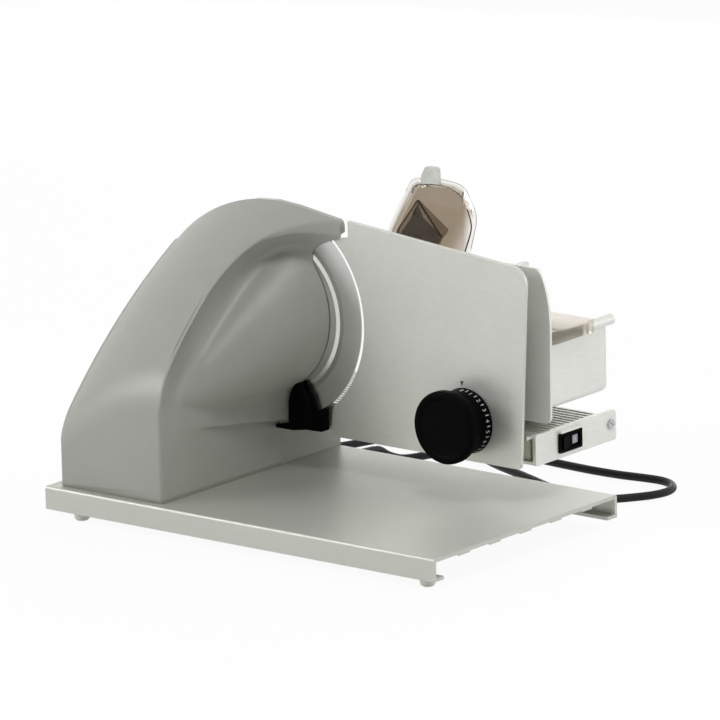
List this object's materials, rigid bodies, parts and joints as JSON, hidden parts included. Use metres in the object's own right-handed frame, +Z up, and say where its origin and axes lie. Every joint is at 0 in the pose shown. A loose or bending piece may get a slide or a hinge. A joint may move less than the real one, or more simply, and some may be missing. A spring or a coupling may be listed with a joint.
{
  "type": "electric food slicer",
  "caption": "Domestic electric food slicer: grey motor housing, round blade, stop plate with dial knob, sliding carriage and smoked remnant holder on an aluminium base.",
  "frame": {"origin": "middle of the footprint without the lead, at the feet's underside", "axes": "+X along the base from the motor housing to the operator's end, +Y from the dial side to the carriage side, +Z up"},
  "size_m": [0.4632, 0.3448, 0.2665],
  "materials": {
    "grey_paint": "satin paint on cast metal",
    "alloy": "satin anodised",
    "light_alloy": "fine satin",
    "blade_steel": "ground",
    "steel": "turned",
    "dark_steel": "blackened",
    "black_plastic": "matte",
    "black_rubber": "matte",
    "smoked_plastic": "smoked, see-through",
    "dark_smoke": "dark smoked",
    "pale_plastic": "satin",
    "pale_rubber": "translucent",
    "nylon": "moulded",
    "bush_brass": "turned"
  },
  "bodies": {
    "stand": {"base_plate": "alloy", "feet": "pale_rubber", "motor_housing": "grey_paint", "rail_pedestal": "grey_paint", "blade_shroud": "grey_paint", "bearing_plate": "alloy", "frame_screws": "dark_steel", "spindle_bush": "bush_brass", "idler_pin": "steel", "motor_stator": "dark_steel", "motor_end_bells": "alloy", "motor_standoffs": "steel", "motor_capacitor": "pale_plastic", "slice_deflector": "black_plastic", "thread_post": "steel", "post_block": "alloy", "guide_blocks": "nylon", "rail": "alloy", "rail_screws": "dark_steel", "end_plate": "alloy", "guide_rod": "steel", "rod_screw": "steel", "rod_bracket": "alloy", "switch_body": "black_plastic", "switch_brow": "light_alloy", "strain_relief": "black_rubber", "cord_lead": "black_rubber", "cord_coil": "black_rubber", "cord_tail": "black_rubber", "cord_tie": "black_rubber", "plug_body": "black_plastic", "plug_pins": "steel"},
    "cutter": {"blade": "blade_steel", "blade_spindle": "steel", "spindle_gear": "nylon", "blade_screw": "dark_steel"},
    "idler": {"idler_gear": "nylon"},
    "rotor": {"motor_rotor": "steel", "motor_pinion": "steel", "cooling_fan": "black_plastic"},
    "stop": {"stop_plate": "alloy", "plate_rods": "steel", "dial_bush": "bush_brass"},
    "dial": {"knob": "black_plastic", "dial_ring": "black_plastic", "dial_circlip": "steel"},
    "carriage": {"carriage": "light_alloy", "handle_roll": "light_alloy", "thumb_guard": "alloy", "slider_block": "black_plastic", "glide_feet": "nylon"},
    "holder": {"remnant_holder": "smoked_plastic", "holder_hood": "smoked_plastic", "holder_web": "dark_smoke", "holder_tab": "pale_plastic"},
    "rocker": {"rocker": "black_plastic"}
  },
  "joints": [
    {"name": "blade_spin", "type": "hinge", "parent": "stand", "child": "cutter", "pos_m": [-0.084, 0.0205, 0.145], "axis": [0, 1, 0], "continuous": true},
    {"name": "idler_spin", "type": "hinge", "parent": "stand", "child": "idler", "pos_m": [-0.11514, -0.0055, 0.12644], "axis": [0, 1, 0], "continuous": true},
    {"name": "rotor_spin", "type": "hinge", "parent": "stand", "child": "rotor", "pos_m": [-0.124, -0.0555, 0.09], "axis": [0, 1, 0], "continuous": true},
    {"name": "plate_slide", "type": "slide", "parent": "stand", "child": "stop", "axis": [0, -1, 0], "range_m": [0, 0.02]},
    {"name": "knob_turn", "type": "hinge", "parent": "stop", "child": "dial", "pos_m": [0.102, 0.0045, 0.085], "axis": [0, -1, 0], "range_deg": [0, 300]},
    {"name": "carriage_slide", "type": "slide", "parent": "stand", "child": "carriage", "axis": [-1, 0, 0], "range_m": [0, 0.195]},
    {"name": "holder_slide", "type": "slide", "parent": "carriage", "child": "holder", "axis": [0, 1, 0], "range_m": [-0.01, 0.02]},
    {"name": "rocker_tilt", "type": "hinge", "parent": "stand", "child": "rocker", "pos_m": [0.156, 0.0767, 0.0648], "axis": [0, 0, 1], "range_deg": [-16, 0]}
  ],
  "couplings": [
    {"joint": "idler_spin", "follows": "blade_spin", "ratio": -3.4615},
    {"joint": "rotor_spin", "follows": "blade_spin", "ratio": 13.846},
    {"joint": "knob_turn", "follows": "plate_slide", "rad_per_m": 261.8}
  ]
}
